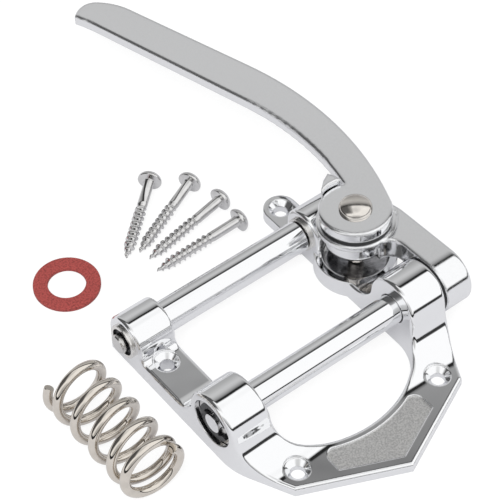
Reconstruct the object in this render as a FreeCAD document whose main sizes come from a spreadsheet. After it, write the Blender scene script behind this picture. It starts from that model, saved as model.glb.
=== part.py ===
import FreeCAD, Part
import Sketcher
import math
import os
import re

# Horseshoe vibrato tailpiece for an arched guitar, in millimetres.
# +X runs along the bars towards the swing arm, +Y from the tail point to the front, +Z up.
# The origin lies midway between the two tail screw holes, on the face that meets the guitar.

V = FreeCAD.Vector
doc = FreeCAD.newDocument("vibrato_tailpiece")

# Driving dimensions. Every size is a plain number in one cell of the sheet.
SIZES = {
    # Horseshoe frame, seen from above.
    "tail_hole_half": 27.4,
    "tail_half_width": 32.5,
    "tail_corner_back": 5.1,
    "tail_point_back": 19.9,
    "arm_outer_half": 41.5,
    "arm_inner_half": 28.0,
    "taper_start": 13.0,
    "taper_round": 22.0,
    "window_back": 0.7,
    "window_arc_r": 37.0,
    "window_corner_r": 16.0,
    # Horseshoe frame, seen from the side.
    "plate_thick": 3.4,
    "strap_height": 6.4,
    "string_bar_y": 22.7,
    "string_bar_z": 13.4,
    "tension_bar_y": 65.8,
    "tension_bar_z": 9.9,
    "rear_boss_r": 10.3,
    "front_boss_r": 8.1,
    "tail_sweep_r": 13.0,
    "strap_sweep_r": 7.0,
    "front_sweep_r": 2.5,
    "rim_round": 1.1,
    # Spring cup, front ear, recess and screw holes of the frame.
    "hub_inset": 3.1,
    "cup_y": 51.6,
    "cup_r": 11.0,
    "cup_wall": 2.4,
    "cup_floor": 3.0,
    "cup_round": 2.4,
    "ear_inset": 5.0,
    "ear_y": 82.8,
    "ear_r": 5.6,
    "ear_thick": 4.0,
    "strap_hole_y": 53.6,
    "screw_hole_r": 2.2,
    "screw_sink_r": 3.9,
    "recess_rim_front": 2.5,
    "recess_rim_back": 3.6,
    "recess_half": 18.2,
    "recess_end_r": 3.2,
    "recess_depth": 0.5,
    "spot_face_r": 4.5,
    # String bar, its bearings, clip and washers.
    "string_bar_r": 4.7625,
    "string_stub_r": 3.1,
    "bar_chamfer": 0.5,
    "bearing_r": 7.15,
    "bearing_inset": 1.6,
    "bearing_outset": 2.7,
    "bar_way_gap": 0.35,
    "running_gap": 0.05,
    "face_gap": 0.05,
    "clip_bore_r": 8.0,
    "clip_bore_depth": 2.4,
    "clip_thick": 0.8,
    "clip_r": 6.4,
    "clip_band": 1.8,
    "clip_prong": 2.0,
    "clip_mouth": 5.4,
    "clip_groove_r": 2.4,
    "clip_washer_thick": 0.6,
    "clip_washer_r": 7.7,
    "stub_inset": 0.2,
    "side_washer_r": 9.0,
    "pin_r": 1.1,
    "pin_stand": 3.4,
    "pin_depth": 2.4,
    "pin_margin": 2.5,
    "pin_lean": 45.0,
    # Tension roller, its shaft and bushes.
    "roller_r": 5.18,
    "roller_end_gap": 0.3,
    "shaft_r": 3.175,
    "shaft_stand": 1.8,
    "shaft_chamfer": 0.4,
    "bush_r": 4.3,
    "bush_flange_r": 5.65,
    "bush_flange": 1.0,
    "bush_lip": 1.05,
    "bush_well_floor": 0.3,
    "blind_bush_length": 4.4,
    # Arm bracket, measured from the string bar along the bracket's own level.
    "bracket_drop": 4.0,
    "bracket_boss_r": 9.6,
    "bracket_gap": 0.9,
    "hub_reach": 29.04,
    "lip_margin": 0.8,
    "lip_thick": 1.9,
    "hub_r": 10.0,
    "hub_depth": 8.2,
    "web_thick": 7.4,
    "web_curve_r": 5.0,
    "web_curve_reach": 11.57,
    "web_outset": 1.6,
    "web_shoulder": 7.0,
    "web_end_x": 5.5,
    "seat_groove": 0.6,
    "seat_groove_depth": 0.5,
    "seat_groove_from": 25.0,
    "seat_groove_turn": 130.0,
    "bracket_round": 1.0,
    "nut_well_r": 5.6,
    "nut_well_depth": 6.0,
    "bolt_hole_gap": 0.1,
    "grub_r": 2.0,
    "grub_inset": 0.4,
    # Stop lug of the bracket: x from the hub's centre, reach from its hollow side outwards.
    "lug_root": 1.4,
    "lug_rise": 7.0,
    "lug_gap": 0.4,
    "lug_heel_x": 4.5,
    "lug_side_x": 1.1,
    "lug_side_reach": 2.2,
    "lug_tip_x": 2.1,
    "lug_tip_reach": 3.9,
    "lug_face_x": 3.05,
    "lug_face_reach": 2.4,
    "lug_root_x": 3.6,
    # Swing arm, measured from the hub's centre.
    "arm_disc_r": 11.7,
    "arm_thick": 4.0,
    "arm_edge_round": 0.7,
    "arm_leave_y": 3.6,
    "arm_root_x": 4.0,
    "arm_root_inset": 2.2,
    # Bend of the arm: its outer side's straight run starts here, the rest is measured from it.
    "arm_bend_x": 17.78,
    "arm_bend_y": 75.8,
    "arm_bend_width": 12.18,
    "arm_calf_back": 12.4,
    # End of the arm: the straight run ends here, the tip is measured from it.
    "arm_end_x": 5.2,
    "arm_end_y": 127.0,
    "arm_end_width": 13.97,
    "arm_tip_out": 7.77,
    "arm_tip_rise": 11.0,
    "arm_crown_out": 1.77,
    "arm_crown_rise": 1.6,
    "arm_toe_out": 2.93,
    "arm_toe_drop": 3.0,
    # Pivot of the swing arm.
    "arm_washer_inset": 0.5,
    "arm_washer_thick": 1.0,
    "bolt_shoulder_r": 3.5,
    "bolt_thread_r": 2.5,
    "bolt_chamfer": 0.4,
    "bolt_head_r": 5.3,
    "bolt_rim": 0.8,
    "bolt_dome": 2.3,
    "bolt_foot_gap": 0.25,
    "nut_flats": 8.0,
    "nut_thick": 4.0,
    "lock_washer_thick": 1.1,
    "lock_washer_r": 4.6,
    # Loose pieces laid out beside the frame.
    "spring_aside": 11.25,
    "spring_start": 62.06,
    "spring_coil_r": 9.0,
    "spring_wire_r": 1.55,
    "spring_open_pitch": 9.0,
    "spring_end_pitch": 3.6,
    "spring_turns": 5.7,
    "washer_inset": 3.0,
    "washer_ahead": 17.2,
    "fibre_washer_r": 10.8,
    "fibre_washer_hole_r": 6.1,
    "fibre_washer_thick": 1.6,
    "screw_length": 35.0,
    "screw_head_r": 4.0,
    "screw_head_rim": 0.6,
    "screw_head_dome": 2.3,
    "screw_shank_r": 1.7,
    "screw_thread_r": 2.0,
    "screw_thread_length": 22.0,
    "screw_point": 5.0,
}

# Where the screws lie on the floor, chosen by hand: the middle of each one, measured from the
# front of the frame, and the direction from its point to its head in degrees from +X.
SCREWS_AT = (
    (V(-4.5, 35.7, 0), 39.9),
    (V(3.0, 30.7, 0), 23.0),
    (V(5.0, 22.1, 0), 8.0),
    (V(4.0, 13.6, 0), -1.3),
)

# Places that follow from the sizes.
HUB_X = "(arm_outer_half - hub_inset)"
EAR_X = "(arm_inner_half + ear_inset)"
STRAP_X = "((arm_inner_half + arm_outer_half) / 2)"
BRACKET_INNER = "(arm_outer_half + bracket_gap)"
LIP_R = "(arm_disc_r + lip_margin)"
BRACKET_OUTER = f"({HUB_X} + {LIP_R} + web_outset)"
FRONT = "(tension_bar_y + front_boss_r)"

sheet = doc.addObject("Spreadsheet::Sheet", "sizes")
for row, (alias, number) in enumerate(SIZES.items(), start=1):
    sheet.set(f"A{row}", str(number))
    sheet.setAlias(f"A{row}", alias)
doc.recompute()


# Helpers.

def bound(text):
    """Expression text with the sheet's name put before each size in it."""
    return re.sub(r"\b[a-z]+(?:_[a-z]+)+\b", r"sizes.\g<0>", text)


def size(text):
    """Number that a size, or an expression of sizes, stands for."""
    return float(sheet.evalExpression(bound(text)))


def placed(x, y, z, axis=V(0, 0, 1), angle=0.0):
    return FreeCAD.Placement(V(x, y, z), FreeCAD.Rotation(axis, angle))


def along_x(y, z):
    """Placement that lays a turned piece's own Z along +X, at the given height."""
    return placed(0, size(y), size(z), V(0, 1, 0), 90)


def on_bracket():
    """Placement of the bracket's level: it has dropped about the string bar."""
    return placed(0, size("string_bar_y"), size("string_bar_z"), V(1, 0, 0), -size("bracket_drop"))


def new_body(label):
    body = doc.addObject("PartDesign::Body", label)
    body.Label = label
    return body


def sketch_on(body, role, level="0"):
    """Empty sketch on one of the body's own planes, moved along the plane's normal."""
    sketch = body.newObject("Sketcher::SketchObject", body.Name + "_sketch")
    plane = next(item for item in body.Origin.OriginFeatures if item.Role == role)
    sketch.AttachmentSupport = [(plane, "")]
    sketch.MapMode = "FlatFace"
    sketch.setExpression("AttachmentOffset.Base.z", bound(level))
    return sketch


def pin_point(sketch, item, end, corner):
    """Hold one end of a sketch item at a place written in sizes."""
    for kind, axis, text in (("DistanceX", -2, corner[0]), ("DistanceY", -1, corner[1])):
        if text == "0":
            sketch.addConstraint(Sketcher.Constraint("PointOnObject", item, end, axis))
            continue
        index = sketch.addConstraint(Sketcher.Constraint(kind, -1, 1, item, end, size(text)))
        sketch.setExpression(f"Constraints[{index}]", bound(text))


def arc_between(start, finish, radius):
    """Arc under a half circle; a positive radius turns left on the way, a negative one right."""
    chord = finish - start
    left = V(-chord.y, chord.x, 0).normalize()
    height = math.sqrt(radius ** 2 - chord.Length ** 2 / 4)
    centre = (start + finish) * 0.5 + left * math.copysign(height, radius)
    first, last = (start, finish) if radius > 0 else (finish, start)
    angles = [math.atan2(end.y - centre.y, end.x - centre.x) for end in (first, last)]
    return Part.ArcOfCircle(Part.Circle(centre, V(0, 0, 1), abs(radius)), *angles)


def end_ways(start, finish, radius):
    """Directions at the two ends of an arc or, where the radius is None, of a line."""
    chord = finish - start
    half = 0 if radius is None else math.degrees(math.asin(chord.Length / (2 * radius)))
    turn = FreeCAD.Rotation(V(0, 0, 1), half)
    chord.normalize()
    return turn.inverted().multVec(chord), turn.multVec(chord)


def bend_radius(corners, points, index):
    """Signed radius of the item that starts at a corner, or None for a line."""
    corner = corners[index]
    if len(corner) == 2 or corner[2] not in ("before", "after"):
        return size(corner[2]) if len(corner) == 3 else None
    count = len(points)
    neighbour = (index + (1 if corner[2] == "after" else -1)) % count
    radius = bend_radius(corners, points, neighbour)
    ways = end_ways(points[neighbour], points[(neighbour + 1) % count], radius)
    chord = points[(index + 1) % count] - points[index]
    side = chord.cross(ways[0]) if corner[2] == "after" else ways[1].cross(chord)
    return chord.Length ** 2 / (2 * side.z)


def outline(sketch, corners):
    """Closed outline through corners (x, y). A third value makes an arc to the next corner: its
    radius, or "before" or "after" for an arc that runs smoothly from or into that neighbour."""
    points = [V(size(corner[0]), size(corner[1]), 0) for corner in corners]
    ends = []
    for index, corner in enumerate(corners):
        start = points[index]
        finish = points[(index + 1) % len(points)]
        radius = bend_radius(corners, points, index)
        if radius is None:
            item = sketch.addGeometry(Part.LineSegment(start, finish))
            ends.append((item, 1, 2))
            continue
        item = sketch.addGeometry(arc_between(start, finish, radius))
        ends.append((item, 1, 2) if radius > 0 else (item, 2, 1))
        if corner[2] in ("before", "after"):
            continue
        index = sketch.addConstraint(Sketcher.Constraint("Radius", item, abs(radius)))
        sketch.setExpression(f"Constraints[{index}]", bound(f"abs({corner[2]})"))
    for index, (item, first, last) in enumerate(ends):
        following, start, _ = ends[(index + 1) % len(ends)]
        smooth = corners[index][2:] == ("after",) or corners[(index + 1) % len(ends)][2:] == ("before",)
        kind = "Tangent" if smooth else "Coincident"
        sketch.addConstraint(Sketcher.Constraint(kind, item, last, following, start))
        pin_point(sketch, item, first, corners[index])


def pad(body, sketch, length):
    feature = body.newObject("PartDesign::Pad", body.Name + "_pad")
    feature.Profile = sketch
    feature.setExpression("Length", bound(length))
    doc.recompute()
    return feature


def turned(label, profile, place):
    """Piece turned about its own Z from a half outline of (radius, height) corners."""
    body = new_body(label)
    sketch = sketch_on(body, "XZ_Plane")
    outline(sketch, profile)
    turn = body.newObject("PartDesign::Revolution", label + "_turn")
    turn.Profile = sketch
    turn.ReferenceAxis = (sketch, ["V_Axis"])
    turn.Angle = 360
    body.Placement = place
    doc.recompute()
    return body


def ring(label, hole, outer, low, high, place):
    """Flat washer, bush or bearing as a turned rectangle."""
    corners = ((hole, low), (outer, low), (outer, high), (hole, high))
    return turned(label, corners, place)


def cylinder(name, radius, height, place):
    item = doc.addObject("Part::Cylinder", name)
    item.setExpression("Radius", bound(radius))
    item.setExpression("Height", bound(height))
    item.Placement = place
    return item


def cone(name, low_radius, high_radius, height, place):
    item = doc.addObject("Part::Cone", name)
    item.setExpression("Radius1", bound(low_radius))
    item.setExpression("Radius2", bound(high_radius))
    item.setExpression("Height", bound(height))
    item.Placement = place
    return item


def joined(name, *items):
    fused = doc.addObject("Part::MultiFuse", name)
    fused.Shapes = list(items)
    fused.Refine = True
    doc.recompute()
    return fused


def cut(name, base, *tools):
    result = doc.addObject("Part::Cut", name)
    result.Base = base
    result.Tool = tools[0] if len(tools) == 1 else joined(name + "_tools", *tools)
    result.Refine = True
    result.Label = name
    doc.recompute()
    return result


def rounded(name, base, radius, wanted):
    """Part::Fillet on the edges of the base that the test picks."""
    item = doc.addObject("Part::Fillet", name)
    item.Base = base
    edges = [n for n, edge in enumerate(base.Shape.Edges, start=1) if wanted(edge)]
    item.Edges = [(n, size(radius), size(radius)) for n in edges]
    item.Label = name
    doc.recompute()
    return item


def middle_of(edge):
    return edge.valueAt((edge.FirstParameter + edge.LastParameter) / 2)


# Frame: one casting.

def frame_plan(body):
    """Horseshoe seen from above, padded to the top of the rear bosses."""
    window_centre = "(window_arc_r - window_back)"
    shoulder = f"{window_centre} - sqrt(window_arc_r^2 - arm_inner_half^2)"
    sketch = sketch_on(body, "XY_Plane")
    outline(sketch, (
        ("0", "-tail_point_back"),
        ("tail_half_width", "-tail_corner_back"),
        ("arm_outer_half", "taper_start"),
        ("arm_outer_half", FRONT),
        ("arm_inner_half", FRONT),
        ("arm_inner_half", shoulder, "-window_arc_r"),
        ("0", "-window_back", "-window_arc_r"),
        ("-arm_inner_half", shoulder),
        ("-arm_inner_half", FRONT),
        ("-arm_outer_half", FRONT),
        ("-arm_outer_half", "taper_start"),
        ("-tail_half_width", "-tail_corner_back"),
    ))
    return pad(body, sketch, "string_bar_z + rear_boss_r")


def round_upright(body, base, radius, x, y):
    """Round the two upright edges of the plan at (+-x, y)."""
    item = body.newObject("PartDesign::Fillet", body.Name + "_round")
    names = []
    for number, edge in enumerate(base.Shape.Edges, start=1):
        place = middle_of(edge)
        upright = abs(edge.BoundBox.ZLength - base.Shape.BoundBox.ZLength) < 1e-6
        if upright and abs(abs(place.x) - size(x)) < 1e-3 and abs(place.y - size(y)) < 1e-3:
            names.append(f"Edge{number}")
    item.Base = (base, names)
    item.setExpression("Radius", bound(radius))
    doc.recompute()
    return item


def sweep(bar, boss, level, radius, side):
    """Two ends of the hollow sweep from a flat level up to the boss of a bar."""
    reach = f"({boss} + {radius})"
    drop = f"({bar}_z - {level} - {radius})"
    foot = f"({bar}_y {side} sqrt({reach}^2 - {drop}^2))"
    share = f"{boss} / {reach}"
    top = (f"{bar}_y + ({foot} - {bar}_y) * {share}", f"{bar}_z - {drop} * {share}")
    return (foot, level), top


def frame_profile(body):
    """Cut away all above the side outline: tail, rear boss, strap and front boss."""
    tail = sweep("string_bar", "rear_boss_r", "plate_thick", "tail_sweep_r", "-")
    strap = sweep("string_bar", "rear_boss_r", "strap_height", "strap_sweep_r", "+")
    front = sweep("tension_bar", "front_boss_r", "strap_height", "front_sweep_r", "-")
    above = "string_bar_z + rear_boss_r + front_boss_r"
    behind = "-tail_point_back - front_boss_r"
    before = "tension_bar_y + 2 * front_boss_r"
    sketch = sketch_on(body, "YZ_Plane")
    outline(sketch, (
        (behind, "plate_thick"),
        (*tail[0], "tail_sweep_r"),
        (*tail[1], "-rear_boss_r"),
        ("string_bar_y", "string_bar_z + rear_boss_r", "-rear_boss_r"),
        (*strap[1], "strap_sweep_r"),
        strap[0],
        (*front[0], "front_sweep_r"),
        (*front[1], "-front_boss_r"),
        ("tension_bar_y", "tension_bar_z + front_boss_r", "-front_boss_r"),
        (FRONT, "tension_bar_z"),
        (before, "tension_bar_z"),
        (before, above),
        (behind, above),
    ))
    item = body.newObject("PartDesign::Pocket", body.Name + "_profile")
    item.Profile = sketch
    item.Type = "ThroughAll"
    item.SideType = "Symmetric"
    doc.recompute()
    return item


def round_rim(body, base):
    """Round the whole upper rim of the casting, where its top meets its upright sides."""
    names = []
    for number, edge in enumerate(base.Shape.Edges, start=1):
        way = edge.tangentAt((edge.FirstParameter + edge.LastParameter) / 2)
        straight = isinstance(edge.Curve, Part.Line)
        upright_or_across = straight and max(abs(way.z), abs(way.x)) > 1 - 1e-9
        if edge.BoundBox.ZMax > 1e-6 and not upright_or_across:
            names.append(f"Edge{number}")
    item = body.newObject("PartDesign::Fillet", body.Name + "_rim")
    item.Base = (base, names)
    item.setExpression("Radius", bound("rim_round"))
    doc.recompute()


def frame_recess(body):
    """Shallow matte panel in the tail, a rim's width inside the window and the point."""
    slope = "(tail_point_back - tail_corner_back) / tail_half_width"
    lean = f"sqrt(1 + ({slope})^2)"
    point = f"(-tail_point_back + recess_rim_back * {lean})"
    arc_r = "(window_arc_r + recess_rim_front)"
    centre = "(window_arc_r - window_back)"
    inner = "(recess_half - recess_end_r)"
    front = f"({centre} - sqrt({arc_r}^2 - {inner}^2))"
    back = f"({point} + {slope} * recess_half)"
    sketch = sketch_on(body, "XY_Plane", "plate_thick - recess_depth")
    outline(sketch, (
        ("0", point),
        ("recess_half", back),
        ("recess_half", f"{front} - recess_end_r", "recess_end_r * 1.05"),
        (inner, front, f"-{arc_r}"),
        ("0", f"{centre} - {arc_r}", f"-{arc_r}"),
        (f"-{inner}", front, "recess_end_r * 1.05"),
        ("-recess_half", f"{front} - recess_end_r"),
        ("-recess_half", back),
    ))
    item = body.newObject("PartDesign::Pocket", body.Name + "_recess")
    item.Profile = sketch
    item.setExpression("Length", bound("recess_depth * 2"))
    item.Reversed = True
    doc.recompute()
    return item


def screw_holes():
    """Through hole and countersink for each fixing screw of the frame."""
    places = (
        (size("tail_hole_half"), 0.0, "plate_thick"),
        (-size("tail_hole_half"), 0.0, "plate_thick"),
        (-size(STRAP_X), size("strap_hole_y"), "strap_height"),
        (size(EAR_X), size("ear_y"), "ear_thick"),
    )
    depth = "screw_sink_r - screw_hole_r"
    tools = []
    for x, y, top in places:
        tools.append(cylinder("screw_hole", "screw_hole_r", top, placed(x, y, 0)))
        sink = placed(x, y, size(f"{top} - ({depth})"))
        tools.append(cone("screw_sink", "screw_hole_r", "screw_sink_r", depth, sink))
        face = placed(x, y, size(top))
        tools.append(cylinder("spot_face", "spot_face_r", "plate_thick", face))
    return tools


def frame_bores():
    """Bearing, clip and bush bores along the two bars, and the spring cup."""
    string_line = along_x("string_bar_y", "string_bar_z")
    tension_line = along_x("tension_bar_y", "tension_bar_z")
    left = placed(0, 0, -size("arm_outer_half"))
    inner = placed(0, 0, -size("arm_inner_half"))
    right = placed(0, 0, size("arm_inner_half"))
    seat = placed(0, 0, size("arm_inner_half + bearing_inset"))
    depth = "arm_outer_half - arm_inner_half - bearing_inset"
    high = "string_bar_z + rear_boss_r"
    cup = turned("cup_bore", (
        ("0", "cup_floor"),
        ("cup_r - cup_round", "cup_floor", "cup_round"),
        ("cup_r", "cup_floor + cup_round"),
        ("cup_r", high),
        ("0", high),
    ), placed(size(HUB_X), size("cup_y"), 0))
    return (
        cylinder("bar_way", "string_bar_r + bar_way_gap", "2 * arm_outer_half", string_line * left),
        cylinder("left_bearing_bore", "bearing_r", depth, string_line * left),
        cylinder("right_bearing_bore", "bearing_r", depth, string_line * seat),
        cylinder("clip_bore", "clip_bore_r", "clip_bore_depth", string_line * left),
        cylinder("left_bush_bore", "bush_r", "arm_outer_half", tension_line * left),
        cylinder("right_bush_bore", "bush_r", "blind_bush_length", tension_line * right),
        cylinder("roller_way", "bush_flange_r + bar_way_gap", "2 * arm_inner_half", tension_line * inner),
        cup,
    )


def make_frame():
    body = new_body("frame_casting")
    plan = frame_plan(body)
    centre = "window_arc_r - window_back"
    shoulder = f"{centre} - sqrt(window_arc_r^2 - arm_inner_half^2)"
    plan = round_upright(body, plan, "window_corner_r", "arm_inner_half", shoulder)
    round_upright(body, plan, "taper_round", "arm_outer_half", "taper_start")
    round_rim(body, frame_profile(body))
    frame_recess(body)
    cup_place = placed(size(HUB_X), size("cup_y"), 0)
    cup = cylinder("cup_block", "cup_r + cup_wall", "strap_height", cup_place)
    ear = cylinder("ear_round", "ear_r", "ear_thick", placed(size(EAR_X), size("ear_y"), 0))
    neck = doc.addObject("Part::Box", "ear_neck")
    neck.setExpression("Length", bound("2 * ear_r"))
    neck.setExpression("Width", bound("ear_y - tension_bar_y"))
    neck.setExpression("Height", bound("ear_thick"))
    neck.Placement = placed(size(f"{EAR_X} - ear_r"), size("tension_bar_y"), 0)
    whole = joined("frame_whole", body, cup, ear, neck)
    return cut("frame", whole, *screw_holes(), *frame_bores())


# Tension roller and its bearings, all on one line along X.

def make_tension_line():
    line = along_x("tension_bar_y", "tension_bar_z")
    hole = "shaft_r + running_gap"
    outer = "-arm_outer_half"
    turned("tension_bush_left", (
        (hole, f"{outer} - bush_well_floor"),
        ("bush_flange_r - bush_lip", f"{outer} - bush_well_floor"),
        ("bush_flange_r - bush_lip", f"{outer} - bush_flange"),
        ("bush_flange_r", f"{outer} - bush_flange"),
        ("bush_flange_r", outer),
        ("bush_r", outer),
        ("bush_r", "-arm_inner_half"),
        (hole, "-arm_inner_half"),
    ), line)
    turned("tension_bush_right", (
        (hole, "arm_inner_half - bush_flange"),
        ("bush_flange_r", "arm_inner_half - bush_flange"),
        ("bush_flange_r", "arm_inner_half"),
        ("bush_r", "arm_inner_half"),
        ("bush_r", "arm_inner_half + blind_bush_length"),
        (hole, "arm_inner_half + blind_bush_length"),
    ), line)
    left = f"({outer} - bush_flange - shaft_stand)"
    right = "(arm_inner_half + blind_bush_length - shaft_chamfer)"
    turned("tension_shaft", (
        ("0", left),
        ("shaft_r - shaft_chamfer", left),
        ("shaft_r", f"{left} + shaft_chamfer"),
        ("shaft_r", f"{right} - shaft_chamfer"),
        ("shaft_r - shaft_chamfer", right),
        ("0", right),
    ), line)
    start = "(roller_end_gap - arm_inner_half)"
    stop = "(arm_inner_half - bush_flange - roller_end_gap)"
    turned("tension_roller", (
        ("shaft_r", start),
        ("roller_r - shaft_chamfer", start),
        ("roller_r", f"{start} + shaft_chamfer"),
        ("roller_r", f"{stop} - shaft_chamfer"),
        ("roller_r - shaft_chamfer", stop),
        ("shaft_r", stop),
    ), line)


# String bar with its pins, bearings, clip and washers.

def make_bearings(line):
    hole = "string_bar_r + running_gap"
    near = "(arm_inner_half + bearing_inset)"
    far = "(arm_outer_half - bearing_outset)"
    ring("bearing_left", hole, "bearing_r", f"-{far}", f"-{near}", line)
    ring("bearing_right", hole, "bearing_r", near, far, line)
    floor = "(arm_outer_half - clip_bore_depth)"
    stub = "string_stub_r + running_gap"
    ring("clip_washer", stub, "clip_washer_r", f"-{floor} - clip_washer_thick", f"-{floor}", line)
    low = "arm_outer_half + face_gap"
    high = f"{BRACKET_INNER} - face_gap"
    ring("bracket_washer", hole, "side_washer_r", low, high, line)


def pin_places():
    """Placements of the six string pins: own Z points out of the bar, forwards and down."""
    lean = math.radians(size("pin_lean"))
    out = V(0, math.cos(lean), -math.sin(lean))
    root = size("string_bar_r - pin_depth")
    centre = V(0, size("string_bar_y"), size("string_bar_z"))
    end = size("arm_inner_half - pin_margin")
    for number in range(6):
        along = V(end * (number - 2.5) / 2.5, 0, 0)
        turn = FreeCAD.Rotation(V(0, 0, 1), out)
        yield FreeCAD.Placement(centre + along + out * root, turn)


def make_string_bar(line):
    end = "(stub_inset - arm_outer_half)"
    floor = "(clip_bore_depth - arm_outer_half)"
    groove = f"({floor} - clip_washer_thick - face_gap)"
    stop = BRACKET_OUTER
    bar = turned("string_bar_blank", (
        ("0", end),
        ("string_stub_r", end),
        ("string_stub_r", f"{groove} - clip_thick - 2 * face_gap"),
        ("clip_groove_r", f"{groove} - clip_thick - 2 * face_gap"),
        ("clip_groove_r", groove),
        ("string_stub_r", groove),
        ("string_stub_r", f"{floor} + 2 * face_gap"),
        ("string_bar_r", f"{floor} + 2 * face_gap"),
        ("string_bar_r", f"{stop} - bar_chamfer"),
        ("string_bar_r - bar_chamfer", stop),
        ("0", stop),
    ), line)
    holes = [cylinder("pin_hole", "pin_r", "string_bar_r", place) for place in pin_places()]
    cut("string_bar", bar, *holes)
    pins = doc.addObject("Part::Compound", "string_pins")
    height = "pin_depth + pin_stand"
    pins.Links = [cylinder("string_pin", "pin_r", height, place) for place in pin_places()]
    pins.Label = "string_pins"
    doc.recompute()


def make_clip(line):
    """Spring clip: three prongs grip the groove of the string bar, the mouth points away."""
    level = size("clip_bore_depth - arm_outer_half - clip_washer_thick - 2 * face_gap - clip_thick")
    turn = FreeCAD.Rotation(V(0, 0, 1), 90)
    place = line * FreeCAD.Placement(V(0, 0, level), turn)
    band = cylinder("clip_band_disc", "clip_r", "clip_thick", place)
    inside = cylinder("clip_inside", "clip_r - clip_band", "clip_thick", place)
    band = cut("clip_ring", band, inside)
    prongs = []
    for angle in (0, 105, 255):
        prong = doc.addObject("Part::Box", "clip_prong_bar")
        prong.setExpression("Length", bound("clip_r - clip_band / 2"))
        prong.setExpression("Width", bound("clip_prong"))
        prong.setExpression("Height", bound("clip_thick"))
        spin = FreeCAD.Rotation(V(0, 0, 1), angle)
        middle = FreeCAD.Placement(V(0, -size("clip_prong") / 2, 0), FreeCAD.Rotation())
        prong.Placement = place * FreeCAD.Placement(V(0, 0, 0), spin) * middle
        prongs.append(prong)
    mouth = doc.addObject("Part::Box", "clip_mouth_cut")
    mouth.setExpression("Length", bound("clip_r"))
    mouth.setExpression("Width", bound("clip_mouth"))
    mouth.setExpression("Height", bound("clip_thick"))
    shift = V(-size("clip_r"), -size("clip_mouth") / 2, 0)
    mouth.Placement = place * FreeCAD.Placement(shift, FreeCAD.Rotation())
    groove = cylinder("clip_grip", "clip_groove_r + face_gap", "clip_thick", place)
    blank = joined("clip_blank", band, *prongs)
    cut("bar_clip", blank, mouth, groove)


# Arm bracket: hinge boss on the string bar, web, hub with a lip, and a stop lug.

def make_bracket(level):
    base = "bracket_boss_r - web_thick"
    web = new_body("bracket_web")
    sketch = sketch_on(web, "XY_Plane", base)
    outline(sketch, (
        (BRACKET_INNER, "0"),
        (BRACKET_OUTER, "0"),
        (BRACKET_OUTER, "hub_reach - web_shoulder", "before"),
        (f"{HUB_X} + web_end_x", f"hub_reach + sqrt({LIP_R}^2 - web_end_x^2) - lip_margin"),
        (HUB_X, "hub_reach"),
        (f"{BRACKET_INNER} - web_curve_r", "web_curve_reach + web_curve_r", "-web_curve_r"),
        (BRACKET_INNER, "web_curve_reach"),
    ))
    pad(web, sketch, "web_thick")
    web.Placement = level
    hub_at = level * placed(size(HUB_X), size("hub_reach"), 0)
    lug = new_body("bracket_lug")
    sketch = sketch_on(lug, "XY_Plane", "bracket_boss_r - lug_root")
    round_r = "(arm_disc_r + lug_gap)"
    outline(sketch, (
        ("-lug_heel_x", f"sqrt({round_r}^2 - lug_heel_x^2)"),
        ("-lug_side_x", f"{round_r} + lug_side_reach"),
        ("lug_tip_x", f"{round_r} + lug_tip_reach"),
        ("lug_face_x", f"{round_r} + lug_face_reach"),
        ("lug_root_x", f"sqrt({round_r}^2 - lug_root_x^2)", round_r),
    ))
    pad(lug, sketch, "lug_root + lug_rise")
    lug.Placement = hub_at
    boss_at = level * placed(size(BRACKET_INNER), 0, 0, V(0, 1, 0), 90)
    boss = cylinder("bracket_boss", "bracket_boss_r", f"{BRACKET_OUTER} - {BRACKET_INNER}", boss_at)

    def outer_rim(edge):
        """Edge that lies in the outer end face of the boss and web."""
        return edge.BoundBox.XMin > size(BRACKET_OUTER) - 1e-4

    limb = joined("bracket_limb", web, boss)
    limb = rounded("bracket_soft", limb, "bracket_round", outer_rim)
    low = size("bracket_boss_r - hub_depth")
    hub = cylinder("bracket_hub", "hub_r", "hub_depth", hub_at * placed(0, 0, low))
    seat_low = size("bracket_boss_r - seat_groove_depth")
    seat_at = hub_at * placed(0, 0, seat_low, V(0, 0, 1), -size("seat_groove_from + seat_groove_turn"))
    groove_disc = cylinder("groove_disc", f"{LIP_R} + seat_groove", "seat_groove_depth", seat_at)
    groove_disc.setExpression("Angle", bound("seat_groove_turn"))
    groove_core = cylinder("groove_core", LIP_R, "seat_groove_depth", seat_at)
    groove = cut("seat_groove_ring", groove_disc, groove_core)
    lip_low = size("bracket_boss_r - lip_thick")
    lip = cylinder("bracket_lip", LIP_R, "lip_thick", hub_at * placed(0, 0, lip_low))
    whole = joined("bracket_whole", limb, lug, hub, lip)
    bore = cylinder("bar_bore", "string_bar_r", f"{BRACKET_OUTER} - {BRACKET_INNER}", boss_at)
    bolt_low = hub_at * placed(0, 0, low)
    bolt = cylinder("bolt_bore", "bolt_thread_r + bolt_hole_gap", "2 * hub_depth", bolt_low)
    well = cylinder("nut_well", "nut_well_r", "nut_well_depth", bolt_low)
    middle = size(f"({BRACKET_INNER} + {BRACKET_OUTER}) / 2")
    under = level * placed(middle, 0, -size("bracket_boss_r"))
    grub_hole = cylinder("grub_bore", "grub_r", "bracket_boss_r", under)
    cut("arm_bracket", whole, groove, bore, bolt, well, grub_hole)
    turned("bracket_grub_screw", (
        ("0", "grub_inset"),
        ("grub_r", "grub_inset"),
        ("grub_r", "bracket_boss_r - string_bar_r - grub_inset"),
        ("grub_r - grub_inset", "bracket_boss_r - string_bar_r"),
        ("0", "bracket_boss_r - string_bar_r"),
    ), under)


# Swing arm and its pivot.

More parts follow.
